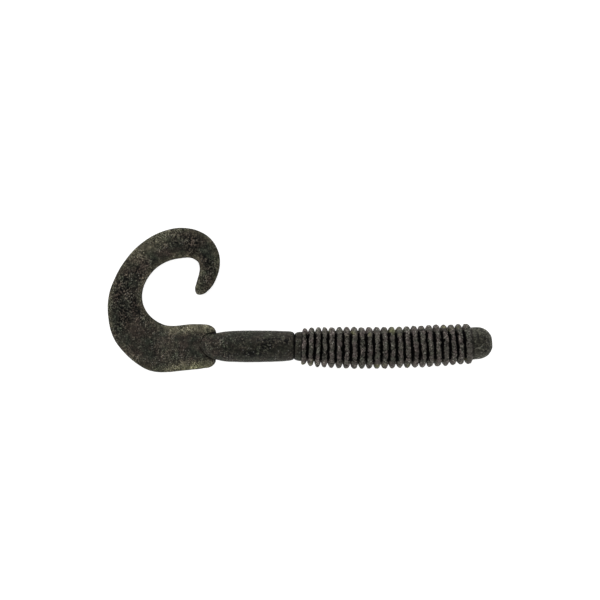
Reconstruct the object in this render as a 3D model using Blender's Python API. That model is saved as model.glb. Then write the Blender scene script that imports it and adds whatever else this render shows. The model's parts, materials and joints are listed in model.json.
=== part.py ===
"""Ringed soft plastic worm with a flat curled tail, lying on a surface.

The head points along +X, the tail curls towards +Y, and the surface is z = 0. The worm is one soft
moulding that bends at the grooves between its rings, at its neck and along its thin tail. Each
stretch between two of those bends is a solid of its own, and its origin is the bend that it turns
about, on the side of the head. Metres throughout.
"""

import math

import bmesh
import bpy
import numpy as np
from mathutils import Matrix, Vector

# Gap left at every bend, and the number of flats round the body
SLIT = 0.0003
SIDES = 24

# Rings, counted from the head backwards
RING_COUNT = 23
RING_PITCH = 0.001958
FIRST_RING_X = 0.04424
RING_RADIUS = 0.0054
CREST_WIDTH = 0.0006
GROOVE_RADIUS = 0.00435

# The rings before the first full one shrink evenly towards the head, and those near the neck shrink
# quickly, by a share that fades out over so many rings
FRONT_TAPER = 0.0002
FIRST_FULL_RING = 6
REAR_TAPER = 0.00075
REAR_TAPER_RINGS = 2

# Head: a short barrel with an elliptical dome and a small flat at the tip
HEAD_RADIUS = 0.00425
DOME_START_X = 0.0470
DOME_LENGTH = 0.0039
NOSE_FLAT_AT = 0.945
DOME_STEPS = 7

# Chamfers: the length of one, and the radius at its end as a share of the full one
CHAMFER = 0.0003
CHAMFER_SHARE = 0.97

# Collar, neck groove and smooth bar behind the rings
COLLAR_RADIUS = 0.00386
NECK_X = -0.00165
NECK_RADIUS = 0.0033
BAR_RADIUS = 0.00413
BAR_END_RADIUS = 0.0035
BAR_Y = -0.01225
BAR_END_X = -0.0222

# The smooth bar swells in the middle: share of its length, and share of its radius there
BAR_SWELL = [
    (0.05, 0.92),
    (0.20, 0.975),
    (0.45, 0.995),
    (0.65, 1.0),
    (0.82, 0.97),
    (0.92, 0.91),
]

# The ringed part bows a little sideways, as y = BOW_CURVE * (x - BOW_X) ** 2 - BOW_DEPTH
BOW_X = 0.0172
BOW_CURVE = 1.29
BOW_DEPTH = 0.00048

# Bends: how far each face falls back from the slit at its rim, as a share of the radius. That is
# room for 8 degrees at a groove, 12 at the neck and 10 at the tail's root.
GROOVE_RELIEF = 0.040
NECK_RELIEF = 0.085
ROOT_RELIEF = 0.050

# Tail blade: points along its middle line, with its width at each
TAIL_POINTS = [
    (-0.0250, -0.0124, 0.01150),
    (-0.0291, -0.0124, 0.01190),
    (-0.0335, -0.0129, 0.01210),
    (-0.0380, -0.0130, 0.01275),
    (-0.0435, -0.0095, 0.01185),
    (-0.0465, -0.0040, 0.01020),
    (-0.0465, 0.0024, 0.00840),
    (-0.0438, 0.0082, 0.00755),
    (-0.0393, 0.0128, 0.00780),
    (-0.0334, 0.0151, 0.00800),
    (-0.0271, 0.0143, 0.00720),
    (-0.0242, 0.0088, 0.00525),
    (-0.0264, 0.0032, 0.00335),
    (-0.0276, 0.0017, 0.00295),
]
SHOULDER_LENGTH = 0.0028
SHOULDER_START = 0.93
TIP_ROUND = 0.0014
TIP_END_SHARE = 0.25
BLADE_THICKNESS = 0.0020
TIP_THICKNESS = 0.0014
EDGE_BEVEL = 0.0011
EDGE_THICKNESS = 0.0009
DROOP_LENGTH = 0.0170

# Tail links after the root: name, length along the middle line, and whether its bend lifts it
TAIL_LINKS = [
    ("tail_paddle", 0.0092, True),
    ("curl_link_1", 0.0078, False),
    ("curl_link_2", 0.0074, True),
    ("curl_link_3", 0.0070, False),
    ("curl_link_4", 0.0070, True),
    ("curl_link_5", 0.0070, False),
    ("curl_link_6", 0.0066, True),
    ("curl_link_7", 0.0060, False),
    ("tail_tip", None, False),
]
ROOT_LENGTH = 0.0031
SECTION_STEP = 0.0013
FEWEST_STEPS = 3

# The middle line is sampled at so many points, and its heading is taken over this length
LINE_SAMPLES = 600
HEADING_STEP = 0.0002

# The bar runs out over the tail's root as a flattened wedge: distance behind the bar's end, half
# width as a share of its end radius, and how flat it is there
WEDGE = [
    (0.0014, 0.98, 0.86),
    (0.0026, 0.90, 0.66),
    (0.0036, 0.70, 0.56),
    (0.0043, 0.42, 0.62),
    (0.0046, 0.0, 1.0),
]
WEDGE_RIM = (0.99, 0.98)

# Where the blade bends flat on the surface, its ends fall back at these slopes on the right and the
# left of the middle line. The curl turns right, and it opens by 12 degrees and closes by 6.
NO_RELIEF = (0.0, 0.0)
CURL_RELIEF = (0.080, 0.122)

# Colours of the moulding, thick and thin
BODY_COLOR = (0.030, 0.027, 0.021, 1.0)
TAIL_COLOR = (0.036, 0.032, 0.024, 1.0)
ROUGHNESS = 0.55
SHARP_ANGLE = math.radians(35)

# Points closer than this are one point
SAME_POINT = 1e-6

# Height of the body's axis when the widest ring stands on one of its flats
AXIS_Z = RING_RADIUS * math.cos(math.pi / SIDES)


def clear_scene():
    for obj in list(bpy.data.objects):
        bpy.data.objects.remove(obj, do_unlink=True)


def plastic(name, color):
    material = bpy.data.materials.new(name)
    material.use_nodes = True
    shader = material.node_tree.nodes["Principled BSDF"]
    shader.inputs["Base Color"].default_value = color
    shader.inputs["Roughness"].default_value = ROUGHNESS
    shader.inputs["Metallic"].default_value = 0.0
    return material


def add_object(name, bm, place, color):
    """Makes an object of the mesh, standing at place, a 4x4 matrix."""
    bmesh.ops.recalc_face_normals(bm, faces=bm.faces)
    mesh = bpy.data.meshes.new(name)
    bm.to_mesh(mesh)
    bm.free()
    mesh.shade_smooth()
    mesh.set_sharp_from_angle(angle=SHARP_ANGLE)
    mesh.materials.append(plastic(name + "_plastic", color))
    obj = bpy.data.objects.new(name, mesh)
    bpy.context.scene.collection.objects.link(obj)
    obj.matrix_world = place
    return obj


def turned(profile):
    """A solid of revolution about X. The profile is a list of (x, radius) from one end to the other."""
    bm = bmesh.new()
    half_flat = math.pi / SIDES
    verts = []
    for x, radius in profile:
        side = radius * math.sin(half_flat)
        low = -radius * math.cos(half_flat)
        verts.append(bm.verts.new((x, side, low)))
    edges = [bm.edges.new(pair) for pair in zip(verts, verts[1:])]
    outline = verts + edges
    bmesh.ops.spin(bm, geom=outline, axis=(1, 0, 0), angle=2 * math.pi, steps=SIDES)
    bmesh.ops.remove_doubles(bm, verts=bm.verts, dist=SAME_POINT)
    return bm


def body_y(x):
    """Where the body's axis is at x: bowed along the rings, and straight from the neck back."""
    if x <= NECK_X:
        return BAR_Y
    return BAR_Y + BOW_CURVE * (x - BOW_X) ** 2 - BOW_DEPTH


def body_tilt(x):
    if x <= NECK_X:
        return 0.0
    return math.atan(2 * BOW_CURVE * (x - BOW_X))


def on_body(x, middle_x):
    """A place on the body's axis at x, turned as the axis runs at middle_x."""
    spot = Matrix.Translation((x, body_y(x), AXIS_Z))
    return spot @ Matrix.Rotation(body_tilt(middle_x), 4, "Z")


def ring_x(number):
    return FIRST_RING_X - (number - 1) * RING_PITCH


def groove_x(number):
    """Groove 1 is between the head and ring 1."""
    return ring_x(number) + RING_PITCH / 2


def ring_radius(number):
    """The rings are a little smaller towards the head, and shrink quickly in the last few at the neck."""
    from_full = max(0, FIRST_FULL_RING - number)
    from_neck = RING_COUNT - number
    front = FRONT_TAPER * from_full / (FIRST_FULL_RING - 1)
    rear = REAR_TAPER * math.exp(-from_neck / REAR_TAPER_RINGS)
    return RING_RADIUS - front - rear


def make_head():
    start = groove_x(1)
    rim = SLIT / 2 + GROOVE_RELIEF * GROOVE_RADIUS
    profile = [
        (SLIT / 2, 0),
        (rim, HEAD_RADIUS * CHAMFER_SHARE),
        (rim + CHAMFER, HEAD_RADIUS),
    ]
    for i in range(DOME_STEPS + 1):
        along = NOSE_FLAT_AT * math.sin(math.pi / 2 * i / DOME_STEPS)
        x = DOME_START_X + DOME_LENGTH * along - start
        profile.append((x, HEAD_RADIUS * math.sqrt(1 - along**2)))
    profile.append((profile[-1][0], 0))
    head_middle = (start + DOME_START_X + DOME_LENGTH) / 2
    add_object("head", turned(profile), on_body(start, head_middle), BODY_COLOR)


def make_ring(number):
    hinge = groove_x(number)
    middle = -RING_PITCH / 2
    rim = GROOVE_RELIEF * GROOVE_RADIUS + SLIT / 2
    front = [
        (-SLIT / 2, 0),
        (-rim, GROOVE_RADIUS),
        (middle + CREST_WIDTH / 2, ring_radius(number)),
    ]
    back = [(2 * middle - x, radius) for x, radius in reversed(front)]
    name = f"ring_{number:02d}"
    add_object(name, turned(front + back), on_body(hinge, ring_x(number)), BODY_COLOR)


def make_collar():
    hinge = groove_x(RING_COUNT + 1)
    end = NECK_X - hinge
    rim = SLIT / 2 + GROOVE_RELIEF * GROOVE_RADIUS
    neck_rim = SLIT / 2 + NECK_RELIEF * NECK_RADIUS
    profile = [
        (-SLIT / 2, 0),
        (-rim, COLLAR_RADIUS),
        (end + neck_rim + CHAMFER, COLLAR_RADIUS * CHAMFER_SHARE),
        (end + neck_rim, NECK_RADIUS),
        (end + SLIT / 2, 0),
    ]
    add_object("collar", turned(profile), on_body(hinge, hinge), BODY_COLOR)


def make_bar():
    """The smooth bar, whose end faces fall back to clear the neck and the tail."""
    length = NECK_X - BAR_END_X
    neck_rim = SLIT / 2 + NECK_RELIEF * NECK_RADIUS
    root_rim = SLIT / 2 + ROOT_RELIEF * BAR_END_RADIUS
    profile = [(-SLIT / 2, 0), (-neck_rim, NECK_RADIUS)]
    profile += [(-length * at, BAR_RADIUS * share) for at, share in BAR_SWELL]
    profile += [(-length + root_rim, BAR_END_RADIUS), (-length + SLIT / 2, 0)]
    add_object("smooth_bar", turned(profile), on_body(NECK_X, NECK_X), BODY_COLOR)


def natural_spline(at, values, wanted):
    """A smooth curve through the values, with no bend at either end."""
    count = len(at)
    gap = np.diff(at)
    matrix = np.eye(count)
    right = np.zeros(count)
    for i in range(1, count - 1):
        matrix[i, i - 1 : i + 2] = gap[i - 1], 2 * (gap[i - 1] + gap[i]), gap[i]
        right[i] = 6 * ((values[i + 1] - values[i]) / gap[i] - (values[i] - values[i - 1]) / gap[i - 1])
    bend = np.linalg.solve(matrix, right)
    k = np.clip(np.searchsorted(at, wanted) - 1, 0, count - 2)
    a = at[k + 1] - wanted
    b = wanted - at[k]
    h = gap[k]
    cubic = (bend[k] * a**3 + bend[k + 1] * b**3) / (6 * h)
    line = (values[k] / h - bend[k] * h / 6) * a + (values[k + 1] / h - bend[k + 1] * h / 6) * b
    return cubic + line


class TailLine:
    """The blade's middle line, by distance along it from the first tail point."""

    def __init__(self):
        points = np.array(TAIL_POINTS)
        chord = np.concatenate([[0], np.cumsum(np.hypot(*np.diff(points[:, :2], axis=0).T))])
        fine = np.linspace(0, chord[-1], LINE_SAMPLES)
        self.x, self.y, self.width = [natural_spline(chord, v, fine) for v in points.T]
        steps = np.hypot(np.diff(self.x), np.diff(self.y))
        self.along = np.concatenate([[0], np.cumsum(steps)])
        self.length = self.along[-1]

    def read(self, values, s):
        return float(np.interp(s, self.along, values))

    def middle_z(self, s):
        """The blade leaves the bar at the height of its axis and droops until it lies on the surface."""
        share = min(max(s / DROOP_LENGTH, 0), 1)
        fall = share * share * (3 - 2 * share)
        return AXIS_Z - (AXIS_Z - self.thickness(s) / 2) * fall

    def thickness(self, s):
        """The blade thins towards its tip."""
        share = min(max(s / self.length, 0), 1)
        return BLADE_THICKNESS + (TIP_THICKNESS - BLADE_THICKNESS) * share**2

    def point(self, s):
        if s < 0:
            return Vector((self.x[0] - s, self.y[0], self.middle_z(s)))
        return Vector((self.read(self.x, s), self.read(self.y, s), self.middle_z(s)))

    def heading(self, s):
        """The direction of the line at s, as a unit vector."""
        high = min(s + HEADING_STEP, self.length)
        low = high - 2 * HEADING_STEP
        return (self.point(high) - self.point(low)).normalized()

    def half_width(self, s):
        """Half the blade's width, with round shoulders at the root and a round tip."""
        half = self.read(self.width, max(s, 0)) / 2
        to_root = s - self.point(0).x + BAR_END_X
        to_tip = self.length - s
        if to_root < SHOULDER_LENGTH:
            narrow = BAR_END_RADIUS * SHOULDER_START
            share = 1 - max(to_root, 0) / SHOULDER_LENGTH
            half = narrow + (half - narrow) * math.sqrt(1 - share**2)
        if to_tip < TIP_ROUND:
            share = 1 - max(to_tip, 0) / TIP_ROUND
            half *= max(math.sqrt(1 - share**2), TIP_END_SHARE)
        return half


def blade_section(line, s, relief, share):
    """Ten points round the blade at s, pushed along it by share of how far its end falls back."""
    spot = line.point(s)
    ahead = line.heading(s)
    left = Vector((0, 0, 1)).cross(ahead).normalized()
    up = ahead.cross(left)
    half = line.half_width(s)
    thick = line.thickness(s) / 2
    edge = min(EDGE_THICKNESS / 2, thick)
    inside = half - min(EDGE_BEVEL, half / 2)
    right_side = [(0, thick), (-inside, thick), (-half, edge), (-half, -edge), (-inside, -thick)]
    left_side = [(0, -thick), (inside, -thick), (half, -edge), (half, edge), (inside, thick)]
    points = []
    for across, height in right_side + left_side:
        back = max(0, abs(across) * relief[across > 0] - SLIT / 2)
        points.append(spot + left * across + up * height + ahead * back * share)
    return points


def blade(line, start, end, start_relief, end_relief, origin):
    """The blade from start to end, as a closed mesh in coordinates counted from origin."""
    bm = bmesh.new()
    count = max(FEWEST_STEPS, round((end - start) / SECTION_STEP))
    rows = []
    for i in range(count + 1):
        s = start + (end - start) * i / count
        share = 1 - 2 * i / count
        relief = start_relief if share > 0 else end_relief
        rows.append([bm.verts.new(p - origin) for p in blade_section(line, s, relief, share)])
    size = len(rows[0])
    for a, b in zip(rows, rows[1:]):
        for i in range(size):
            bm.faces.new((a[i], a[(i + 1) % size], b[(i + 1) % size], b[i]))
    for row in (rows[0], rows[-1]):
        bm.faces.new(row[: size // 2 + 1])
        bm.faces.new(row[size // 2 :] + row[:1])
    return bm


def make_tail_root(line):
    """The root of the blade, with its shoulders, and the wedge that the bar runs out as over it."""
    hinge = Vector((BAR_END_X, BAR_Y, AXIS_Z))
    place = Matrix.Translation(hinge)
    rim = SLIT / 2 + ROOT_RELIEF * BAR_END_RADIUS
    to_first_point = BAR_END_X - line.point(0).x
    ends = (rim - to_first_point, ROOT_LENGTH - SLIT / 2)
    plate = blade(line, *ends, NO_RELIEF, NO_RELIEF, hinge)
    root = add_object("tail_root", plate, place, TAIL_COLOR)

    outline = [(SLIT / 2, 0.0, 1.0), (rim, *WEDGE_RIM)] + WEDGE
    wedge_bm = turned([(-behind, BAR_END_RADIUS * share) for behind, share, _ in outline])
    behind_bar, _, flatness = zip(*outline)
    for vert in wedge_bm.verts:
        vert.co.z *= float(np.interp(-vert.co.x, behind_bar, flatness))
        vert.co.z += line.middle_z(-vert.co.x - to_first_point) - AXIS_Z
    wedge = add_object("wedge_shape", wedge_bm, place, TAIL_COLOR)
    wedge.hide_render = True
    wedge.display_type = "WIRE"

    union = root.modifiers.new("wedge", "BOOLEAN")
    union.operation = "UNION"
    union.object = wedge


def make_tail(line):
    """The links of the blade, each from one bend to the next."""
    start = ROOT_LENGTH
    for number, (name, length, lifts) in enumerate(TAIL_LINKS):
        last = number + 1 == len(TAIL_LINKS)
        end = line.length if last else start + length - SLIT / 2
        next_lifts = last or TAIL_LINKS[number + 1][2]
        relief = [NO_RELIEF if flat else CURL_RELIEF for flat in (lifts, next_lifts)]
        origin = line.point(start)
        bm = blade(line, start + SLIT / 2, end, *relief, origin)
        add_object(name, bm, Matrix.Translation(origin), TAIL_COLOR)
        start = end + SLIT / 2


def centre_on_origin():
    """Moves everything so that the middle of the whole worm's box stands on the origin."""
    bpy.context.view_layer.update()
    corners = []
    for obj in bpy.context.scene.objects:
        corners += [obj.matrix_world @ Vector(corner) for corner in obj.bound_box]
    low = Vector([min(corner[axis] for corner in corners) for axis in range(3)])
    high = Vector([max(corner[axis] for corner in corners) for axis in range(3)])
    middle = (low + high) / 2
    shift = Vector((-middle.x, -middle.y, -low.z))
    for obj in bpy.context.scene.objects:
        obj.location += shift


def main():
    clear_scene()
    make_head()
    for number in range(1, RING_COUNT + 1):
        make_ring(number)
    make_collar()
    make_bar()
    line = TailLine()
    make_tail_root(line)
    make_tail(line)
    centre_on_origin()


main()
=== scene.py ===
import itertools
import json
import math

import bpy
import numpy as np
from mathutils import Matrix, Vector

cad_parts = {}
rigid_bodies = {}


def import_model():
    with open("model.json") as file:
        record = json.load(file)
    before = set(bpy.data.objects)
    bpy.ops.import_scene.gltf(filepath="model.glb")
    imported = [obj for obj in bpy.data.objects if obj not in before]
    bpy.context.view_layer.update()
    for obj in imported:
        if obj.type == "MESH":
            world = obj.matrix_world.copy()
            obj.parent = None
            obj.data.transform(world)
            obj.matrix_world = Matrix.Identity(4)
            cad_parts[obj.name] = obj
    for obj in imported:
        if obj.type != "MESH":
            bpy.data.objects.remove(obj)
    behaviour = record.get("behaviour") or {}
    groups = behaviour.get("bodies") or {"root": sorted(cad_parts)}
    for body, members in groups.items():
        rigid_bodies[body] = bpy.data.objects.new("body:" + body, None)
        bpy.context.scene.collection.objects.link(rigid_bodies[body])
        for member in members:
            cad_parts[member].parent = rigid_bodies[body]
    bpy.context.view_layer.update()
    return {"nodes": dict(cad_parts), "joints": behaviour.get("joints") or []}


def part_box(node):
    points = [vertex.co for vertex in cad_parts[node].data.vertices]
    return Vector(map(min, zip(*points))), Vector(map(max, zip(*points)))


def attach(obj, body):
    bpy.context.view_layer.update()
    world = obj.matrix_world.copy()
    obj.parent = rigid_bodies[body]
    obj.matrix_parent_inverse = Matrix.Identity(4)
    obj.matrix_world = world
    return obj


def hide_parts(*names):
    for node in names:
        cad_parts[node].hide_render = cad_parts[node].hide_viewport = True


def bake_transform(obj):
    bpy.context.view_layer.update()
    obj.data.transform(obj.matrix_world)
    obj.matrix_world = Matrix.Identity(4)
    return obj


# Ringed soft plastic worm with a flat curled tail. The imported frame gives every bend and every
# ring; this script lays the moulded skin over it, one closed skin for each stretch between bends.

for leftover in list(bpy.data.objects):
    bpy.data.objects.remove(leftover, do_unlink=True)
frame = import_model()
print("frame loaded:", len(frame["nodes"]), "nodes")

mm = 0.001
up = np.array((0.0, 0.0, 1.0))
forward = np.array((1.0, 0.0, 0.0))      # the way the nose points
bendOf = {joint["child"]: joint for joint in frame["joints"]}
bendAt = {child: np.array(joint["pos_m"]) for child, joint in bendOf.items()}
ringNames = sorted(name for name in frame["nodes"] if name.startswith("ring_"))
axisHeight = bendAt["ring_01"][2]

cellCount = 48
noiseTable = np.random.default_rng(23).uniform(-1, 1, (cellCount, cellCount, cellCount))


def lumps(points, size, layer):      # smooth random values from -1 to 1, with lumps this size across
    place = np.asarray(points) / size + 7.7 * layer + 3.3
    cell = np.floor(place).astype(int)
    part = place - cell
    part = part * part * (3 - 2 * part)
    total = 0
    for corner in itertools.product((0, 1), repeat=3):
        share = np.prod(np.where(np.array(corner, bool), part, 1 - part), axis=-1)
        spot = (cell + np.array(corner)) % cellCount
        total = total + share * noiseTable[spot[..., 0], spot[..., 1], spot[..., 2]]
    return total


def uneven(points, lump, layer):      # lump is how far, and over what size
    return lump[0] * lumps(points, lump[1], layer)


def ease(low, high, value):      # 0 at low, 1 at high, smooth between, and low may be the larger
    share = np.clip((value - low) / (high - low), 0, 1)
    return share * share * (3 - 2 * share)


def onceRound(count):
    return np.linspace(0, 2 * math.pi, count, endpoint=False)


def smoothCurve(at, values, wanted):      # natural spline through the values
    at = np.asarray(at, float)
    values = np.asarray(values, float)
    gap = np.diff(at)
    count = len(at)
    matrix = np.eye(count)
    right = np.zeros(count)
    for i in range(1, count - 1):
        matrix[i, i - 1:i + 2] = gap[i - 1], 2 * (gap[i - 1] + gap[i]), gap[i]
        right[i] = 6 * ((values[i + 1] - values[i]) / gap[i] - (values[i] - values[i - 1]) / gap[i - 1])
    bend = np.linalg.solve(matrix, right)
    wanted = np.clip(wanted, at[0], at[-1])
    k = np.clip(np.searchsorted(at, wanted) - 1, 0, count - 2)
    a = at[k + 1] - wanted
    b = wanted - at[k]
    h = gap[k]
    line = (values[k] / h - bend[k] * h / 6) * a + (values[k + 1] / h - bend[k + 1] * h / 6) * b
    return (bend[k] * a ** 3 + bend[k + 1] * b ** 3) / (6 * h) + line


def waysOut(rows):      # from the middle of each row of points
    outward = rows - rows.mean(axis=1, keepdims=True)
    return outward / (np.linalg.norm(outward, axis=2, keepdims=True) + 1e-12)


def outwardNormals(rows):      # one for each point of a tube of rows
    along = np.gradient(rows, axis=0)
    around = np.roll(rows, -1, 1) - np.roll(rows, 1, 1)
    normals = np.cross(around, along)
    normals /= np.linalg.norm(normals, axis=2, keepdims=True) + 1e-15
    middle = rows.mean(axis=1, keepdims=True)
    if (normals * (rows - middle)).sum() < 0:
        normals = -normals
    return normals


def closedSkin(name, rows, normals, marks, finish):      # rows of points, closed by a fan at both ends
    count, around = rows.shape[:2]
    middles = rows[[0, -1]].mean(axis=1)
    points = np.vstack([rows.reshape(-1, 3), middles])
    ahead = rows[0].mean(axis=0) - rows[1].mean(axis=0)
    behind = rows[-1].mean(axis=0) - rows[-2].mean(axis=0)
    ends = np.array([ahead / np.linalg.norm(ahead), behind / np.linalg.norm(behind)])
    shading = np.vstack([normals.reshape(-1, 3), ends])

    first = np.arange(around)
    second = (first + 1) % around
    start = np.arange(count - 1)[:, None] * around
    quads = np.stack([start + first, start + second, start + second + around, start + first + around], -1)
    quads = quads.reshape(-1, 4)
    frontMiddle, backMiddle = count * around, count * around + 1
    last = (count - 1) * around
    frontFan = np.stack([second, first, np.full(around, frontMiddle)], -1)
    backFan = np.stack([last + first, last + second, np.full(around, backMiddle)], -1)
    a, b, c = points[quads[:, 0]], points[quads[:, 1]], points[quads[:, 2]]
    facing = (np.cross(b - a, c - a) * shading[quads[:, 0]]).sum()
    faces = quads.tolist() + frontFan.tolist() + backFan.tolist()
    if facing < 0:
        faces = [face[::-1] for face in faces]

    mesh = bpy.data.meshes.new(name)
    mesh.from_pydata(points, [], faces)
    mesh.shade_smooth()
    mesh.normals_split_custom_set_from_vertices(shading)
    place = mesh.attributes.new("place", "FLOAT_VECTOR", "POINT")
    place.data.foreach_set("vector", points.astype(np.float32).ravel())
    for mark, values in marks.items():
        attribute = mesh.attributes.new(mark, "FLOAT", "POINT")
        attribute.data.foreach_set("value", np.append(values.ravel(), (0, 0)).astype(np.float32))
    mesh.materials.append(finish["material"])
    piece = bpy.data.objects.new(name, mesh)
    bpy.context.scene.collection.objects.link(piece)
    return piece


def standFor(piece, node):
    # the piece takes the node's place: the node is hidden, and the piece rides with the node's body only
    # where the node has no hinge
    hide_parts(node)
    if node not in bendOf:
        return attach(piece, node)
    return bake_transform(piece)


# The finishes: dark plastic with a fine salt and pepper grain, mottled black in places
fleckColour = (0.0022, 0.0022, 0.0019)
# painted shade: near black mixed in by the dark mark in the grooves, the creases and the neck groove, and
# along the blade's very rim
paintedShadeColour = (0.0006, 0.0005, 0.0004)
grooveRoughness = (0.9, 0.9, 0.9)
greenTint = (0.105, 0.112, 0.050)
specular = 0.08
noiseSpan = (0.36, 0.64)      # nearly all of a noise lies between these
bodyFinish = {
    "slot": "body_plastic",
    "cool": (0.0222, 0.0238, 0.0170),      # the green-grey of the plastic
    "warm": (0.0304, 0.0265, 0.0206),      # brown and purple clouds in it
    "thin": (0.0500, 0.0490, 0.0375),      # olive, mixed in for paler patches and as painted sheen along the bar's sides
    "cloud": 0.42,      # clouds per millimetre
    "grain": 2.3,      # grains per millimetre
    "grain depth": 1.5,
    "blotch depth": 0.36,
    "mottle": 1.35,      # black flecks per millimetre
    "flecks below": 0.518,      # more flecks when higher
    "fleck edge": 0.035,
    "lighter": 0.50,      # how much lighter the plastic is between the flecks
    "speck": (0.17, 0.165, 0.15),      # light specks, in this share of the places, this strong
    "speck share": 0.26,
    "salt": 0.70,
    "roughness": (0.50, 0.70),
    "relief": 0.030 * mm,      # of the fine grain
}
ringFinish = dict(bodyFinish)
ringFinish.update({
    "cool": (0.0640, 0.0640, 0.0508),      # the rings are a lighter copy of the body plastic, painted light for their lit crests
    "warm": (0.0842, 0.0690, 0.0630),
    # mixed in as a painted highlight at the rings' sides
    "thin": (0.0950, 0.0960, 0.0400),
    "grain": 2.1,
    "grain depth": 1.35,
    "blotch depth": 0.34,
    "mottle": 1.7,
    "flecks below": 0.50,
    "lighter": 0.25,
    "speck": (0.32, 0.31, 0.27),
    "speck share": 0.40,
    "salt": 0.75,
    "roughness": (0.55, 0.75),
})
tailFinish = {
    "slot": "tail_plastic",
    "cool": (0.0219, 0.0246, 0.0178),
    "warm": (0.0362, 0.0284, 0.0226),
    # olive, mixed in as painted light showing through the thin rims, and for paler patches and clouds
    "thin": (0.1650, 0.1540, 0.1020),
    "cloud": 0.30,
    "grain": 2.6,
    "grain depth": 1.9,
    "blotch depth": 0.50,
    "mottle": 1.95,
    "flecks below": 0.520,
    "fleck edge": 0.035,
    "lighter": 0.66,
    "speck": (0.24, 0.23, 0.20),
    "speck share": 0.34,
    "salt": 0.55,
    "roughness": (0.48, 0.70),
    "relief": 0.040 * mm,
}


def makePlastic(name, look):      # the four marks come from the skins: painted shade, paler tone with painted light, green, and mottling
    material = bpy.data.materials.new(name)
    material.use_nodes = True
    nodes = material.node_tree.nodes
    links = material.node_tree.links
    shader = nodes["Principled BSDF"]

    def add(kind, inputs=(), **settings):
        node = nodes.new(kind)
        for key, value in settings.items():
            setattr(node, key, value)
        for key, value in dict(inputs).items():
            if isinstance(value, bpy.types.NodeSocket):
                links.new(value, node.inputs[key])
            else:
                node.inputs[key].default_value = value
        return node

    def moved(shift):
        by = (shift, shift, shift)
        return add("ShaderNodeVectorMath", {0: place, 1: by}, operation="ADD").outputs[0]

    def noise(scale, detail, rough, shift=0.0):
        return add("ShaderNodeTexNoise", {"Vector": moved(shift), "Scale": scale, "Detail": detail,
                                          "Roughness": rough}).outputs["Fac"]

    def spread(value, low, high, toLow=0.0, toHigh=1.0):
        return add("ShaderNodeMapRange", {"Value": value, "From Min": low, "From Max": high,
                                          "To Min": toLow, "To Max": toHigh}).outputs["Result"]

    def maths(operation, a, b):
        return add("ShaderNodeMath", {0: a, 1: b}, operation=operation).outputs[0]

    def mix(share, a, b, blend="MIX"):
        node = add("ShaderNodeMix", data_type="RGBA", blend_type=blend)
        for socket, value in ((node.inputs["Factor"], share), (node.inputs[6], a), (node.inputs[7], b)):
            if isinstance(value, bpy.types.NodeSocket):
                links.new(value, socket)
            else:
                socket.default_value = value if isinstance(value, float) else (*value, 1.0)
        return node.outputs[2]

    def spots(scale, radius, share, shift):      # round spots in a share of the cells
        cells = add("ShaderNodeTexVoronoi", {"Vector": moved(shift), "Scale": scale})
        inside = spread(cells.outputs["Distance"], radius, radius * 0.55)
        chosen = add("ShaderNodeSeparateColor", {0: cells.outputs["Color"]}).outputs[0]
        return maths("MULTIPLY", inside, maths("LESS_THAN", chosen, share))

    stored = add("ShaderNodeAttribute", attribute_name="place").outputs["Vector"]
    inMillimetres = {0: stored, 1: (1 / mm, 1 / mm, 1 / mm)}
    place = add("ShaderNodeVectorMath", inMillimetres, operation="MULTIPLY").outputs[0]
    # the first mark is painted shade, the second paler tone and painted light
    dark, thin, green, mottled = [add("ShaderNodeAttribute", attribute_name=mark).outputs["Fac"]
                                  for mark in ("dark", "thin", "green", "mottled")]

    cloud = spread(noise(look["cloud"], 3.0, 0.6), *noiseSpan)
    patch = spread(noise(look["cloud"] * 0.8, 2.0, 0.5, 31.0), 0.38, 0.60, 0.35, 1.0)
    grain = spread(noise(look["grain"], 3.0, 0.75, 5.0), *noiseSpan, -1.0, 1.0)
    fine = spread(noise(look["grain"] * 2.6, 2.0, 0.6, 9.0), *noiseSpan, -1.0, 1.0)
    salt = maths("MULTIPLY", spots(look["grain"] * 0.62, 0.34, look["speck share"], 2.0), patch)
    below = look["flecks below"]
    edge = look["fleck edge"]
    flecks = spread(noise(look["mottle"], 3.0, 0.68, 17.0), below - edge, below + edge, 1.0, 0.0)
    pepper = maths("MULTIPLY", flecks, mottled)

    colour = mix(cloud, look["cool"], look["warm"])
    # paler tone and painted light
    colour = mix(thin, colour, look["thin"])
    colour = mix(green, colour, greenTint)
    both = maths("ADD", maths("MULTIPLY", grain, 0.75), maths("MULTIPLY", fine, 0.45))
    blotch = spread(noise(0.95, 2.0, 0.5, 43.0), 0.34, 0.66, -look["blotch depth"], look["blotch depth"])
    swing = maths("MULTIPLY", maths("MULTIPLY", both, patch), look["grain depth"])
    swing = maths("ADD", swing, blotch)
    swing = maths("ADD", swing, maths("MULTIPLY", mottled, look["lighter"]))      # between the flecks
    gain = maths("POWER", math.e, swing)
    grey = add("ShaderNodeCombineColor", {0: gain, 1: gain, 2: gain}).outputs[0]
    colour = mix(1.0, colour, grey, "MULTIPLY")
    colour = mix(pepper, colour, fleckColour)
    colour = mix(maths("MULTIPLY", salt, look["salt"]), colour, look["speck"])
    # painted shade in the grooves, creases and neck groove, and along the blade's very rim
    colour = mix(dark, colour, paintedShadeColour)
    links.new(colour, shader.inputs["Base Color"])

    roughLow, roughHigh = look["roughness"]
    gloss = spread(grain, -1.0, 1.0, roughHigh, roughLow)
    glossGrey = add("ShaderNodeCombineColor", {0: gloss, 1: gloss, 2: gloss}).outputs[0]
    links.new(mix(dark, glossGrey, grooveRoughness), shader.inputs["Roughness"])
    shader.inputs["Specular IOR Level"].default_value = specular
    height = maths("ADD", maths("MULTIPLY", grain, 0.6), maths("MULTIPLY", fine, 0.4))
    bump = add("ShaderNodeBump", {"Height": height, "Distance": look["relief"], "Strength": 0.6})
    links.new(bump.outputs[0], shader.inputs["Normal"])
    return material


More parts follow.
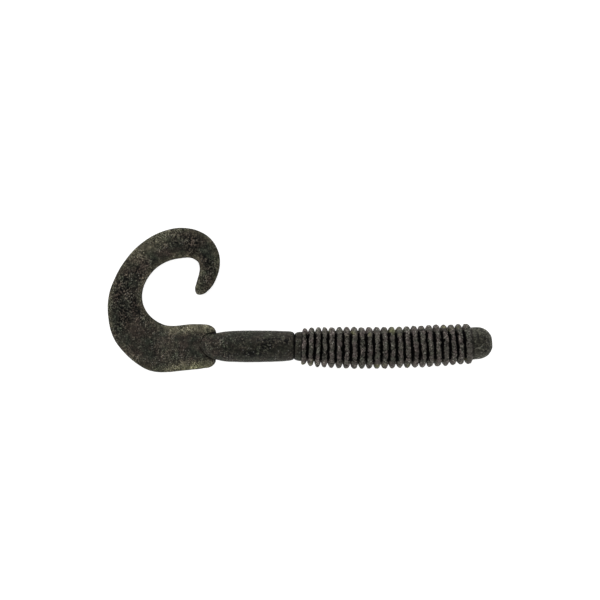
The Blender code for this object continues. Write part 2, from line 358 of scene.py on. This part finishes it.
bodyFinish["material"] = makePlastic("bodyPlastic", bodyFinish)
ringFinish["material"] = makePlastic("ringPlastic", ringFinish)
tailFinish["material"] = makePlastic("tailPlastic", tailFinish)
print("finishes made")


# The body's line: the rings bow a little sideways, and the bar behind them is straight
bodyAround = 208      # points in each of the body's rows
inset = 0.06 * mm      # each skin's hidden front row is this much smaller
grooveAt = np.array([bendAt[name] for name in ringNames + ["collar"]])
neckAt = bendAt["smooth_bar"]
neckGroove = neckAt[0] + 0.15 * mm      # the skin's groove stands a little ahead of the hinge
rootAt = bendAt["tail_root"]
bow = np.polyfit(grooveAt[:, 0], grooveAt[:, 1], 2)


def bodyRing(x, radius, angles):      # a round section, square to the body's line
    slope = np.polyval(np.polyder(bow), x)
    side = np.array((-slope, 1.0, 0.0)) / math.hypot(slope, 1.0)
    aside = np.array(ringShape["aside"])
    shift = np.interp((grooveAt[0][0] - x) / (grooveAt[0][0] - grooveAt[1][0]), aside[:, 0], aside[:, 1])
    middle = np.array((x, np.polyval(bow, x) - shift, axisHeight))
    radius = np.reshape(radius, (-1, 1))
    return middle + radius * (np.outer(np.cos(angles), side) + np.outer(np.sin(angles), up))


ringShape = {
    "rows": 32,      # along one ring, from groove to groove
    "valley": 1.40 * mm,      # depth of the groove under the crest
    "shallower": (0.34 * mm, 0.12 * mm),      # the groove is less deep by this at the +y and -y sides
    "swollen": 0.09 * mm,      # the skin stands this much proud of the frame's crest
    "roundness": 2.6,      # how square the ring's edge is: 1 a wedge, 2 round, 4 a slab
    "tuck": 0.15 * mm,      # each skin starts this far inside the one ahead
    "bends over": 0.75 * mm,      # a length behind the groove
    "drift": [      # ring number, and how far it sits behind an even spacing
        (0.5, 0.0), (1.0, 0.15 * mm), (5.0, 0.20 * mm), (10.0, 0.38 * mm), (15.0, 0.50 * mm),
        (17.0, 0.60 * mm), (19.5, 0.67 * mm), (21.0, 0.36 * mm), (22.0, 0.22 * mm), (23.0, 0.15 * mm),
        (23.5, -0.25 * mm)],
    "aside": [      # ring number, and how far it sits off the bow, towards -y
        (0.0, -0.10 * mm), (5.0, -0.12 * mm), (9.0, -0.04 * mm), (13.0, 0.06 * mm), (19.0, 0.04 * mm),
        (24.0, 0.0)],
    "sway": (0.20 * mm, 2.6 * mm),      # how far the crest wanders along the body, and over what size
    "ragged": (0.15 * mm, 0.72 * mm),      # the same, finer
    "swell": (0.12 * mm, 3.1 * mm),      # how far it wanders outward
    "ragged swell": (0.075 * mm, 0.7 * mm),
    "pebble": (0.075 * mm, 0.36 * mm),
    "pressed over": 0.06 * mm,      # softness of the flat where the ring rests on the surface
    "dark below": 0.235 * mm,      # depth under the crest where the painted shade in the groove begins
    "dark below at sides": 1.06 * mm,
    "dark over": 0.20 * mm,
    "frayed": (0.40 * mm, 0.42 * mm),      # how uneven the edge of the painted shade is
    "front ring": 0.60,      # the first ring's front face is in the open, and gets this share of the painted shade
}


def drifted(evenly, place):
    table = np.array(ringShape["drift"])
    return evenly - float(np.interp(place, table[:, 0], table[:, 1]))


def valleyAt(number):      # where the groove ahead of a ring is, counted from 0
    return drifted(grooveAt[number][0], number + 0.5)


def crestAt(number):
    return drifted((grooveAt[number][0] + grooveAt[number + 1][0]) / 2, number + 1.0)


def frameCrest(node):      # the frame's rings are rounds of 24 flats
    low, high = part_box(node)
    return (high.z - low.z) / 2 / math.cos(math.pi / 24) + ringShape["swollen"]


def valleyRadius(number):      # of the groove ahead of a ring, counted from 0
    if number == 0:
        return headShape["radius"]
    if number == len(ringNames):
        return collarShape["radius"]
    smaller = min(frameCrest(ringNames[number - 1]), frameCrest(ringNames[number]))
    return max(smaller - ringShape["valley"], 3.6 * mm)


def makeRing(node):
    shape = ringShape
    number = ringNames.index(node)
    front, top, back = valleyAt(number), crestAt(number), valleyAt(number + 1)
    crest = frameCrest(node)
    frontValley = valleyRadius(number)
    backValley = valleyRadius(number + 1)
    angles = onceRound(bodyAround)
    across = np.linspace(1, -1, shape["rows"])
    plusSide, minusSide = [ease(0.5, 1, side * np.cos(angles)) for side in (1, -1)]
    sidewise = shape["shallower"][0] * plusSide + shape["shallower"][1] * minusSide
    rows = [bodyRing(front + shape["tuck"], frontValley - inset, angles)]
    depths = [np.full_like(angles, crest - frontValley)]
    shares = [0.0]
    for u in across:
        valley = frontValley if u > 0 else backValley
        floor = valley + sidewise
        radius = floor + (crest - floor) * (1 - abs(u) ** shape["roundness"])
        x = top + (front - top) * u if u > 0 else top + (top - back) * u
        rows.append(bodyRing(x, radius, angles))
        depths.append(crest - radius)
        shares.append(1 - u * u)
    rows = np.array(rows)
    depths = np.array(depths)
    shares = np.array(shares)[:, None]

    sway = uneven(rows, shape["sway"], 1) + uneven(rows, shape["ragged"], 2)
    swell = uneven(rows, shape["swell"], 3) + uneven(rows, shape["ragged swell"], 4)
    swell = swell + uneven(rows, shape["pebble"], 5)
    skin = rows + (shares * sway)[..., None] * forward + (shares * swell)[..., None] * waysOut(rows)
    height = skin[..., 2]      # the ring is pressed flat where it would go under the surface
    skin[..., 2] = (height + np.hypot(height, shape["pressed over"])) / 2

    # painted shade in the grooves, beginning deeper down at the sides
    atSide = np.maximum(ease(0.72, 0.95, np.cos(angles)), ease(0.60, 0.90, -np.cos(angles)))[None, :]
    darkBelow = shape["dark below"] * (1 - atSide) + shape["dark below at sides"] * atSide
    frayed = depths + uneven(rows, shape["frayed"], 6)
    dark = ease(0, 1, (frayed - darkBelow) / shape["dark over"])
    if number == 0:
        dark[:shape["rows"] // 2 + 1] *= shape["front ring"]
    # painted highlight at the rings' sides, uneven in strength and none in the painted shade
    thin = 0.85 * ease(0.45, 0.85, np.abs(np.cos(angles))) * ease(0.25, 0.75, lumps(rows, 2.1 * mm, 7))
    thin = thin * (1 - dark)
    mottled = 0.30 + 0.45 * ease(0.1, 0.6, lumps(rows, 2.0 * mm, 8))
    marks = {"dark": dark, "thin": thin, "mottled": mottled}
    piece = closedSkin("skin_" + node, skin, outwardNormals(skin), marks, ringFinish)
    standFor(piece, node)


headShape = {
    "radius": 4.26 * mm,
    "barrel rows": 14,
    "dome from": 4.05 * mm,      # length of the dome, back from the nose
    "nose flat": 1.75 * mm,      # radius of the small flat
    "squareness": 2.3,
    "sunk": 0.16 * mm,      # the skin's nose stands this far behind the frame's
    "wave": (0.05 * mm, 2.8 * mm),      # how uneven the skin is, and over what size
    "pebble": (0.018 * mm, 0.7 * mm),
    "frayed": (0.10 * mm, 0.6 * mm),
    # painted shade next to the first groove
    "groove dark": 0.6,
    "dark over": (0.36 * mm, 0.06 * mm),      # none that far from the first groove, full this near
}
collarShape = {
    "radius": 3.86 * mm,
    "neck": 3.14 * mm,      # radius in the neck groove
    "edge": 1.9 * mm,      # rounding towards the neck groove
    "squareness": 2.3,
    "bends over": 0.75 * mm,
    "wave": (0.03 * mm, 2.4 * mm),
    "pebble": (0.015 * mm, 0.6 * mm),
    "frayed": (0.08 * mm, 0.6 * mm),
    # painted shade in the groove ahead and in the neck groove
    "front dark": 0.55,
    "front dark over": (0.30 * mm, 0.05 * mm),
    "neck dark": 0.97,
    "neck dark over": (0.48 * mm, 0.08 * mm),
}


def roundedEdge(distance, low, high, length, squareness=2.0):      # a rounded step from low up to high
    share = 1 - np.clip(distance / length, 0, 1)
    return low + (high - low) * np.sqrt(1 - share ** squareness)


def turnedRows(places, radii):      # rows of points of a round stretch
    angles = onceRound(bodyAround)
    return np.array([bodyRing(x, radius, angles) for x, radius in zip(places, radii)])


def makeHead():
    shape = headShape
    start = grooveAt[0][0]
    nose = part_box("head")[1].x - shape["sunk"]
    domeStart = nose - shape["dome from"]
    barrel = np.linspace(start, domeStart, shape["barrel rows"])
    turn = np.linspace(0, 1, 40)[1:]
    limit = (1 - (shape["nose flat"] / shape["radius"]) ** 2) ** (1 / shape["squareness"])
    quarter = math.pi / 2 * limit
    dome = domeStart + (nose - domeStart) * np.sin(turn * quarter) / math.sin(quarter)
    share = (dome - domeStart) / (nose - domeStart) * limit
    domeRadii = shape["radius"] * np.sqrt(1 - share ** shape["squareness"])
    flat = domeRadii[-1] * np.linspace(1, 0.02, 9)[1:]
    places = np.concatenate([barrel, dome, np.full_like(flat, nose)])
    radii = np.concatenate([np.full_like(barrel, shape["radius"]), domeRadii, flat])
    rows = turnedRows(places, radii)
    lift = uneven(rows, shape["wave"], 11) + uneven(rows, shape["pebble"], 12)
    settle = ease(0, 0.6 * mm, places - start)[:, None]
    sideways = (radii / shape["radius"])[:, None, None]
    direction = waysOut(rows) * sideways + forward * (1 - sideways)
    skin = rows + (lift * settle)[..., None] * direction
    nearGroove = (places - start)[:, None] + uneven(rows, shape["frayed"], 13)
    # painted shade by the first groove
    marks = {"dark": shape["groove dark"] * ease(*shape["dark over"], nearGroove),
             "thin": 0.48 + 0.30 * ease(-0.3, 0.6, lumps(rows, 3.0 * mm, 18)),
             "mottled": 0.25 + 0.55 * ease(-0.2, 0.5, lumps(rows, 1.9 * mm, 17))}
    piece = closedSkin("skin_head", skin, outwardNormals(skin), marks, bodyFinish)
    standFor(piece, "head")


def makeCollar():
    shape = collarShape
    start, end = valleyAt(len(ringNames)), neckGroove
    turn = np.sin(np.linspace(0, math.pi / 2, 40))      # closer rows towards the neck
    places = np.concatenate([[start + ringShape["tuck"]], start + (end - start) * turn])
    radii = roundedEdge(places - end, shape["neck"], shape["radius"], shape["edge"], shape["squareness"])
    radii[0] -= inset
    rows = turnedRows(places, radii)
    lift = uneven(rows, shape["wave"], 14) + uneven(rows, shape["pebble"], 15)
    settle = (ease(0, 0.3 * mm, start - places) * ease(0, 0.3 * mm, places - end))[:, None]
    skin = rows + (lift * settle)[..., None] * waysOut(rows)
    frayed = uneven(rows, shape["frayed"], 16)
    # painted shade in the groove ahead and in the neck groove
    nearFront = ease(*shape["front dark over"], (start - places)[:, None] + frayed)
    nearNeck = ease(*shape["neck dark over"], (places - end)[:, None] + frayed)
    marks = {"dark": np.maximum(shape["front dark"] * nearFront, shape["neck dark"] * nearNeck),
             "thin": 0.12 * ease(0.0, 0.7, lumps(rows, 2.4 * mm, 18)),
             "mottled": 0.35 + 0.45 * ease(-0.2, 0.5, lumps(rows, 1.6 * mm, 19))}
    piece = closedSkin("skin_collar", skin, outwardNormals(skin), marks, bodyFinish)
    standFor(piece, "collar")


# The bar and the tail follow one line, from the neck to the tip. Left and right are as seen from
# above, looking along it towards the tip
curlNodes = [f"curl_link_{number}" for number in range(1, 8)]
limbNodes = ["smooth_bar", "tail_root", "tail_paddle", *curlNodes, "tail_tip"]
barShape = {
    "radius": [      # behind the neck, and radius there
        (1.2 * mm, 3.90 * mm), (4.9 * mm, 4.10 * mm), (8.9 * mm, 4.17 * mm), (12.9 * mm, 4.20 * mm),
        (16.9 * mm, 4.06 * mm), (18.8 * mm, 3.86 * mm), (20.0 * mm, 3.62 * mm), (20.7 * mm, 3.48 * mm)],
    "front edge": 1.6 * mm,
    "aside": 0.10 * mm,      # the skin's bar sits this far to the left of the hinges' line
    "aside over": 3.0 * mm,
    "tuck": 0.15 * mm,
    "bends over": 0.9 * mm,
}
wedgeShape = {      # the bar runs out over the blade as a blunt wedge
    "run": [      # behind the root, half width left and right where it meets the blade, half height
        (0.0, 3.54 * mm, 3.54 * mm, 3.48 * mm), (0.95 * mm, 3.26 * mm, 3.50 * mm, 3.30 * mm),
        (1.8 * mm, 2.88 * mm, 3.36 * mm, 2.96 * mm), (2.5 * mm, 2.40 * mm, 3.05 * mm, 2.52 * mm),
        (3.0 * mm, 1.90 * mm, 2.52 * mm, 2.16 * mm), (3.35 * mm, 1.42 * mm, 2.00 * mm, 1.90 * mm),
        (3.6 * mm, 1.00 * mm, 1.40 * mm, 1.72 * mm), (3.8 * mm, 0.55 * mm, 0.75 * mm, 1.58 * mm),
        (4.0 * mm, 0.20 * mm, 0.25 * mm, 1.46 * mm), (4.4 * mm, 0.15 * mm, 0.15 * mm, 1.30 * mm)],
    "crease depth": 0.30 * mm,
    "crease width": 0.17 * mm,
    "crease dark": (0.95, 1.4),      # painted shade in the crease, left and right
    "crease dark width": (1.25, 1.6),      # times the crease's own
    "crease ends": (2.1 * mm, 3.1 * mm),      # its painted shade fades out there, ahead of the wedge's tip
}
bladeShape = {
    "around": 192,
    "row step": 0.21 * mm,
    "thick": 2.0 * mm,
    "thicker at root": 0.9 * mm,      # added between the shoulders, fading out over the next length
    "thicker over": 4.0 * mm,
    "thick at tip": 1.4 * mm,
    "flatness": 0.6,      # 1 is an oval section, 0 a slab
    "droop from": 2.8 * mm,      # behind the root
    "droop over": 17.0 * mm,
    "shoulder": 2.8 * mm,
    "tip round": 1.5 * mm,
    "cut ahead": 2.5 * mm,      # each skin starts this far ahead of its hinge
    "bends over": 1.9 * mm,
    "half widths": [      # behind the root, left of the middle line, right of it
        (2.8 * mm, 5.85 * mm, 5.60 * mm), (5.2 * mm, 6.10 * mm, 5.80 * mm),
        (8.4 * mm, 5.98 * mm, 5.95 * mm), (10.8 * mm, 5.90 * mm, 6.10 * mm),
        (13.6 * mm, 6.08 * mm, 6.28 * mm), (16.4 * mm, 6.38 * mm, 6.36 * mm),
        (18.8 * mm, 6.12 * mm, 6.28 * mm), (21.2 * mm, 5.87 * mm, 6.12 * mm),
        (25.0 * mm, 5.65 * mm, 5.70 * mm), (28.8 * mm, 4.98 * mm, 5.18 * mm),
        (33.0 * mm, 4.48 * mm, 4.50 * mm), (38.0 * mm, 3.93 * mm, 3.95 * mm),
        (43.0 * mm, 3.76 * mm, 3.78 * mm), (48.0 * mm, 3.84 * mm, 3.86 * mm),
        (53.0 * mm, 3.82 * mm, 4.18 * mm), (57.6 * mm, 3.80 * mm, 4.12 * mm),
        (61.0 * mm, 3.75 * mm, 3.50 * mm), (64.8 * mm, 3.12 * mm, 3.00 * mm),
        (68.4 * mm, 2.88 * mm, 2.15 * mm), (72.0 * mm, 2.50 * mm, 1.60 * mm),
        (73.6 * mm, 1.95 * mm, 1.34 * mm), (75.3 * mm, 1.30 * mm, 0.95 * mm)],
    "fuller": 0.06 * mm,      # added to both half widths
    "wave": (0.045 * mm, 2.7 * mm),      # how uneven the skin is, and over what size
    "pebble": (0.016 * mm, 0.65 * mm),
}
limbShade = {      # where the bar and the blade get painted shade, painted light, paler tone and more mottling
    # painted shade in the neck groove
    "neck dark": 0.92,
    "frayed": (0.08 * mm, 0.6 * mm),
    "rim dark": 0.55,
    "rim dark over": (0.22 * mm, 0.05 * mm),
    "paddle ends": (9.0 * mm, 17.0 * mm),
    "rim width": (2.2 * mm, 3.5 * mm),      # on the curl and at the paddle
    "frayed rim": (0.5 * mm, 1.1 * mm),
    # painted light showing through the thin rims
    "rim light": 0.17,
    "rim light on inner side": 0.05,      # added there
    "rim light at paddle": 0.34,
    "rim unmottled": (0.62, 0.13),      # and more by this on the inner side
    "rim green": 0.42,
    "tan light": 0.36,
    "cloud light": 0.07,
    "tip light": 0.12,
    # painted sheen along the bar's sides
    "bar side light": 0.35,
    "bar side mottled": 0.18,
    "mottled": [      # behind the root, how much of the black mottling shows
        (0.0, 0.25), (9.0 * mm, 0.30), (15.0 * mm, 0.45), (22.0 * mm, 0.55), (28.0 * mm, 0.95),
        (40.0 * mm, 1.0), (44.0 * mm, 0.65), (50.0 * mm, 0.50), (54.0 * mm, 0.95), (68.0 * mm, 1.0),
        (74.0 * mm, 0.15)],
    "tan patch": (48.5 * mm, 6.0 * mm),      # lighter there on the outer side, and how far it reaches
    "green patch": (6.0 * mm, 5.5 * mm),      # yellow-green at the outer shoulder
    "mottled uneven": (0.50, 2.6 * mm),
}

tipEnd = np.array(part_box("tail_tip")[0]) + 0.42 * mm * forward      # the line's end, seen from above
barPoints = [neckAt + (rootAt - neckAt) * share for share in (0, 0.25, 0.5, 0.75)]
limbPoints = np.array(barPoints + [bendAt[name] for name in limbNodes[1:]] + [tipEnd])
chord = np.concatenate([[0], np.cumsum(np.linalg.norm(np.diff(limbPoints[:, :2], axis=0), axis=1))])
fineChord = np.linspace(0, chord[-1], 3000)
lineX, lineY = [smoothCurve(chord, limbPoints[:, axis], fineChord) for axis in (0, 1)]
lineAlong = np.concatenate([[0], np.cumsum(np.hypot(np.diff(lineX), np.diff(lineY)))])
limbLength = lineAlong[-1]
bendDistance = {}
for name in limbNodes:
    nearest = np.argmin(np.hypot(lineX - bendAt[name][0], lineY - bendAt[name][1]))
    bendDistance[name] = float(lineAlong[nearest])
rootDistance = bendDistance["tail_root"]


def bladeThickness(s):
    share = np.clip((s - rootDistance) / (limbLength - rootDistance), 0, 1)
    return bladeShape["thick"] + (bladeShape["thick at tip"] - bladeShape["thick"]) * share ** 2


def tipNarrowing(s):      # 1 along the blade, and falls round the end of the tip
    share = 1 - min(max((limbLength - s) / bladeShape["tip round"], 0), 1)
    return math.sqrt(max(1 - share ** 2, 0.0004))


def limbSpot(s):      # the middle of the section at s along the line
    behind = s - rootDistance - bladeShape["droop from"]
    fall = ease(0, 1, behind / bladeShape["droop over"])
    height = axisHeight - (axisHeight - bladeThickness(s) / 2) * fall
    over = np.minimum(s, 0)      # ahead of the neck the line runs straight on
    return np.array((np.interp(s, lineAlong, lineX) - over, np.interp(s, lineAlong, lineY), height))


def limbHeading(s):
    step = 0.15 * mm
    ahead = limbSpot(min(s + step, limbLength)) - limbSpot(min(s + step, limbLength) - 2 * step)
    return ahead / np.linalg.norm(ahead)


def halfWidths(s):      # left and right of the middle line
    behind = s - rootDistance
    table = np.array(bladeShape["half widths"])
    found = []
    for column in (1, 2):
        half = float(smoothCurve(table[:, 0], table[:, column], behind))
        narrow = wedgeShape["run"][0][1]
        share = 1 - min(max(behind / bladeShape["shoulder"], 0), 1)
        half = narrow + (half - narrow) * math.sqrt(1 - share ** 2)
        half += bladeShape["fuller"] * float(ease(0, bladeShape["shoulder"], behind))
        found.append(half * tipNarrowing(s))
    return found


def limbSection(s):      # the row of points at s, how dark each is and how far from the rim
    angles = onceRound(bladeShape["around"])
    cosine, sine = np.cos(angles), np.sin(angles)
    behind = s - rootDistance
    bar = np.array(barShape["radius"])
    if behind <= 0:
        radius = float(smoothCurve(bar[:, 0], bar[:, 1], s))
        behindGroove = s + neckGroove - neckAt[0]
        radius = float(roundedEdge(behindGroove, collarShape["neck"], radius, barShape["front edge"]))
        if behindGroove < 0:
            radius -= inset
        left = right = high = radius
        meets = np.full_like(cosine, radius)
        plate = 0.0
    else:
        left, right = halfWidths(s)
        run = np.array(wedgeShape["run"])
        meets = np.where(cosine > 0, *[np.interp(behind, run[:, 0], run[:, column]) for column in (1, 2)])
        high = float(np.interp(behind, run[:, 0], run[:, 3])) if behind < run[-1, 0] else 0.0
        plate = bladeThickness(s) / 2 * tipNarrowing(s)
        plate += bladeShape["thicker at root"] / 2 * math.exp(-(behind / bladeShape["thicker over"]) ** 2)
        plate *= float(ease(0, 0.5 * mm, behind))
    across = np.where(cosine > 0, left, right) * cosine
    steep = math.sqrt(1 - min(plate / high, 0.97) ** 2) if high > 0 else 1.0
    wide = meets / steep      # of the wedge at mid height, under the blade's top
    flat = plate * np.abs(sine) ** bladeShape["flatness"]
    hump = high * np.sqrt(np.clip(1 - (across / wide) ** 2, 0, None)) if high > 0 else 0 * flat
    height = np.maximum(flat, hump)
    dark = np.zeros_like(height)
    if behind > 0 and high > plate:
        fade = float(ease(0.05 * mm, 0.6 * mm, high - plate))
        near = np.exp(-((np.abs(across) - meets) / wedgeShape["crease width"]) ** 2)
        height = height - near * fade * wedgeShape["crease depth"] * np.abs(sine)
        # painted shade along the crease
        fadeStart, fadeEnd = wedgeShape["crease ends"]
        line = fade * float(ease(fadeEnd, fadeStart, behind))
        broad = np.where(cosine > 0, *wedgeShape["crease dark width"]) * wedgeShape["crease width"]
        strength = np.where(cosine > 0, *wedgeShape["crease dark"])
        dark = strength * line * np.exp(-((np.abs(across) - meets) / broad) ** 2)
    ahead = limbHeading(s)
    side = np.cross(ahead, up)
    side /= np.linalg.norm(side)
    along = min(max(s / barShape["aside over"], 0), 1) * min(max(1 - behind / barShape["aside over"], 0), 1)
    spot = limbSpot(s) - side * barShape["aside"] * along
    over = np.cross(side, ahead)
    points = spot + np.outer(across, -side) + np.outer(np.sign(sine) * height, over)
    toRim = np.where(cosine > 0, left - across, right + across)
    return points, dark, toRim


def limbRows(start, end):      # where the rows of one skin stand, both ends included
    count = max(6, math.ceil((end - start) / bladeShape["row step"]))
    return np.linspace(start, end, count + 1)


def limbMarks(rows, stations, dark, toRim):      # dark is the painted shade of the wedge's crease
    shade = limbShade
    leftness = np.cos(onceRound(bladeShape["around"]))[None, :]      # 1 at the left rim, -1 at the right
    inner = ease(0.2, -0.4, leftness)
    behind = (stations - rootDistance)[:, None]
    onBlade = ease(0, 1.5 * mm, behind)
    atPaddle = 1 - ease(*shade["paddle ends"], behind)

    # painted shade in the neck groove, and darker along the very rim
    behindGroove = (stations + neckGroove - neckAt[0])[:, None] + uneven(rows, shade["frayed"], 23)
    nearNeck = shade["neck dark"] * ease(*collarShape["neck dark over"], behindGroove)
    dark = np.maximum(dark * (1 + 0.25 * lumps(rows, 0.5 * mm, 24)), nearNeck)
    rimDark = shade["rim dark"] * onBlade * ease(*shade["rim dark over"], toRim)
    dark = np.clip(np.maximum(dark, rimDark), 0, 1)

    cloudy = 0.5 + 0.5 * lumps(rows, 3.6 * mm, 25)
    # painted light showing through the thin rims, then paler patches and clouds
    fromRim = toRim + uneven(rows, shade["frayed rim"], 26)
    curlRim, paddleRim = shade["rim width"]
    edge = onBlade * ease(curlRim + (paddleRim - curlRim) * atPaddle, 0.25 * mm, fromRim)
    patchAt, patchOver = shade["tan patch"]
    patch = np.exp(-((behind - patchAt) / patchOver) ** 2) * ease(-0.35, 0.55, leftness)
    patch = patch * (0.5 + 0.5 * cloudy)
    rimLight = shade["rim light"] + shade["rim light on inner side"] * inner
    thin = edge * (rimLight + shade["rim light at paddle"] * atPaddle) * (0.45 + 0.9 * cloudy)
    thin = thin + shade["tan light"] * patch
    thin = thin + shade["cloud light"] * onBlade * ease(0.15, 0.75, lumps(rows, 5.5 * mm, 27))
    thin = thin + shade["tip light"] * ease(5 * mm, 1 * mm, limbLength - stations)[:, None]
    # painted sheen along the bar's sides
    barSide = (1 - onBlade) * ease(0.70, 0.95, np.abs(leftness))
    thin = thin + shade["bar side light"] * barSide * ease(-0.1, 0.6, cloudy - 0.5)

    clearer, clearerInner = shade["rim unmottled"]
    mottled = np.interp(behind, *np.array(shade["mottled"]).T) + uneven(rows, shade["mottled uneven"], 28)
    mottled = mottled * (1 - edge * (clearer + clearerInner * inner)) * (1 - 0.5 * patch)
    onTop = 1 - ease(0.50, 0.88, np.abs(leftness))
    onBar = shade["bar side mottled"] + (1 - shade["bar side mottled"]) * onTop
    onBar = onBar * (0.55 + 0.45 * ease(-0.35, 0.25, lumps(rows, 2.2 * mm, 29)))
    mottled = onBar + (mottled - onBar) * ease(-2 * mm, 3 * mm, behind)

    greenAt, greenOver = shade["green patch"]
    green = shade["rim green"] * edge ** 2 * np.exp(-((behind - greenAt) / greenOver) ** 2)
    green = green * ease(0.0, 0.6, leftness)
    return {"dark": dark, "thin": np.clip(thin, 0, 1), "green": green, "mottled": np.clip(mottled, 0, 1)}


def makeLimb():
    cuts = [bendDistance[name] - bladeShape["cut ahead"] for name in limbNodes[1:]]
    grooveStart = neckAt[0] - neckGroove
    starts = [grooveStart - barShape["tuck"]] + cuts
    ends = cuts + [limbLength]
    stations, ranges = [], {}
    for name, start, end in zip(limbNodes, starts, ends):
        places = limbRows(start, end)
        if name == "smooth_bar":      # closer rows over the rounded front edge
            edge = grooveStart + barShape["front edge"] * (1 - np.cos(np.linspace(0, math.pi / 2, 14)))
            places = np.concatenate([[start], edge, limbRows(edge[-1], end)[1:]])
        if name == "tail_root":      # and over the shoulders and the wedge
            fineStart = rootDistance + 0.002 * mm
            shoulder = fineStart + bladeShape["shoulder"] * (1 - np.cos(np.linspace(0, math.pi / 2, 26)))
            rest = np.linspace(shoulder[-1], end, 4 + math.ceil((end - shoulder[-1]) / (0.13 * mm)))
            places = np.concatenate([limbRows(start, rootDistance - 0.05 * mm), shoulder, rest[1:]])
        if name == "tail_tip":
            roundStart = end - bladeShape["tip round"]
            tip = roundStart + bladeShape["tip round"] * np.sin(np.linspace(0, math.pi / 2, 22))
            places = np.concatenate([limbRows(start, roundStart)[:-1], tip])
        first = max(len(stations) - 1, 0)
        stations += list(places if not stations else places[1:])
        ranges[name] = (first, len(stations))
    found = [limbSection(s) for s in stations]
    rows = np.array([section[0] for section in found])
    dark = np.array([section[1] for section in found])
    toRim = np.array([section[2] for section in found])
    stations = np.array(stations)

    lift = uneven(rows, bladeShape["wave"], 21) + uneven(rows, bladeShape["pebble"], 22)
    lift = lift * ease(0, 0.5 * mm, stations - grooveStart)[:, None]
    skin = rows + lift[..., None] * outwardNormals(rows)
    skin[..., 2] = np.maximum(skin[..., 2], 0.0)
    normals = outwardNormals(skin)
    marks = limbMarks(rows, stations, dark, toRim)

    start = starts[0]
    for name, (first, last) in ranges.items():
        part = slice(first, last)
        finish = bodyFinish if name == "smooth_bar" else tailFinish
        partMarks = {key: values[part] for key, values in marks.items()}
        piece = closedSkin("skin_" + name, skin[part], normals[part], partMarks, finish)
        if name == "smooth_bar":
            standFor(piece, name)
        else:
            standFor(piece, name)


makeHead()
for ringName in ringNames:
    makeRing(ringName)
print("head and rings made:", len(ringNames))
makeCollar()
makeLimb()
print("collar, bar and tail made")


studio = {
    "camera height": 318 * mm,      # above the body's axis
    "field": 158.75 * mm,      # width seen at that height
    "ahead of neck": 1.65 * mm,
    "beside neck": 12.15 * mm,
    "floor size": 6.0,
    "floor colour": (0.62, 0.62, 0.61, 1.0),
    "floor glow": 0.80,
    "floor drop": 0.02 * mm,
    "overhead": 0.06,      # the room's light from straight above, and from the sides
    "horizon": 0.92,
    "horizon to overhead": (0.35, 0.98),      # the height, of 1, where the one turns into the other
    "lamps": [      # name, place, size, watts
        ("backSoftbox", (-0.10, 0.62, 0.34), 0.45, 2.4),
        ("frontSoftbox", (0.15, -0.66, 0.30), 0.45, 1.4),
        ("sideSoftbox", (-0.68, 0.05, 0.28), 0.40, 0.9)],
}


def makeFloor():
    half = studio["floor size"] / 2
    mesh = bpy.data.meshes.new("studioFloor")
    corners = [(-half, -half, 0), (half, -half, 0), (half, half, 0), (-half, half, 0)]
    mesh.from_pydata(corners, [], [(0, 1, 2, 3)])
    floor = bpy.data.objects.new("studioFloor", mesh)
    floor.location.z = -studio["floor drop"]
    bpy.context.scene.collection.objects.link(floor)
    material = bpy.data.materials.new("paleFloor")
    material.use_nodes = True
    shader = material.node_tree.nodes["Principled BSDF"]
    shader.inputs["Base Color"].default_value = studio["floor colour"]
    shader.inputs["Roughness"].default_value = 0.9
    shader.inputs["Specular IOR Level"].default_value = 0.1
    shader.inputs["Emission Color"].default_value = (1, 1, 1, 1)
    shader.inputs["Emission Strength"].default_value = studio["floor glow"]
    mesh.materials.append(material)


def makeLight():
    world = bpy.data.worlds.new("softRoom")
    bpy.context.scene.world = world
    world.use_nodes = True
    nodes = world.node_tree.nodes
    links = world.node_tree.links
    background = nodes["Background"]
    direction = nodes.new("ShaderNodeTexCoord")
    split = nodes.new("ShaderNodeSeparateXYZ")
    level = nodes.new("ShaderNodeMapRange")
    level.interpolation_type = "SMOOTHSTEP"
    level.inputs["From Min"].default_value = studio["horizon to overhead"][0]
    level.inputs["From Max"].default_value = studio["horizon to overhead"][1]
    level.inputs["To Min"].default_value = studio["horizon"]
    level.inputs["To Max"].default_value = studio["overhead"]
    links.new(direction.outputs["Generated"], split.inputs[0])
    links.new(split.outputs["Z"], level.inputs["Value"])
    background.inputs["Color"].default_value = (1, 1, 1, 1)
    links.new(level.outputs[0], background.inputs["Strength"])
    for name, place, size, watts in studio["lamps"]:
        lamp = bpy.data.lights.new(name, "AREA")
        lamp.size = size
        lamp.energy = watts
        obj = bpy.data.objects.new(name, lamp)
        obj.location = place
        obj.rotation_euler = (-Vector(place)).to_track_quat("-Z", "Y").to_euler()
        bpy.context.scene.collection.objects.link(obj)


def makeCamera():
    data = bpy.data.cameras.new("overheadCamera")
    data.lens = data.sensor_width * studio["camera height"] / studio["field"]
    data.clip_start = 0.01
    data.clip_end = 20.0
    camera = bpy.data.objects.new("overheadCamera", data)
    camera.location = (neckAt[0] + studio["ahead of neck"], neckAt[1] + studio["beside neck"],
                       axisHeight + studio["camera height"])
    bpy.context.scene.collection.objects.link(camera)
    bpy.context.scene.camera = camera


makeFloor()
makeLight()
makeCamera()
bpy.context.scene.view_settings.view_transform = "Standard"
print("floor, light and camera made")
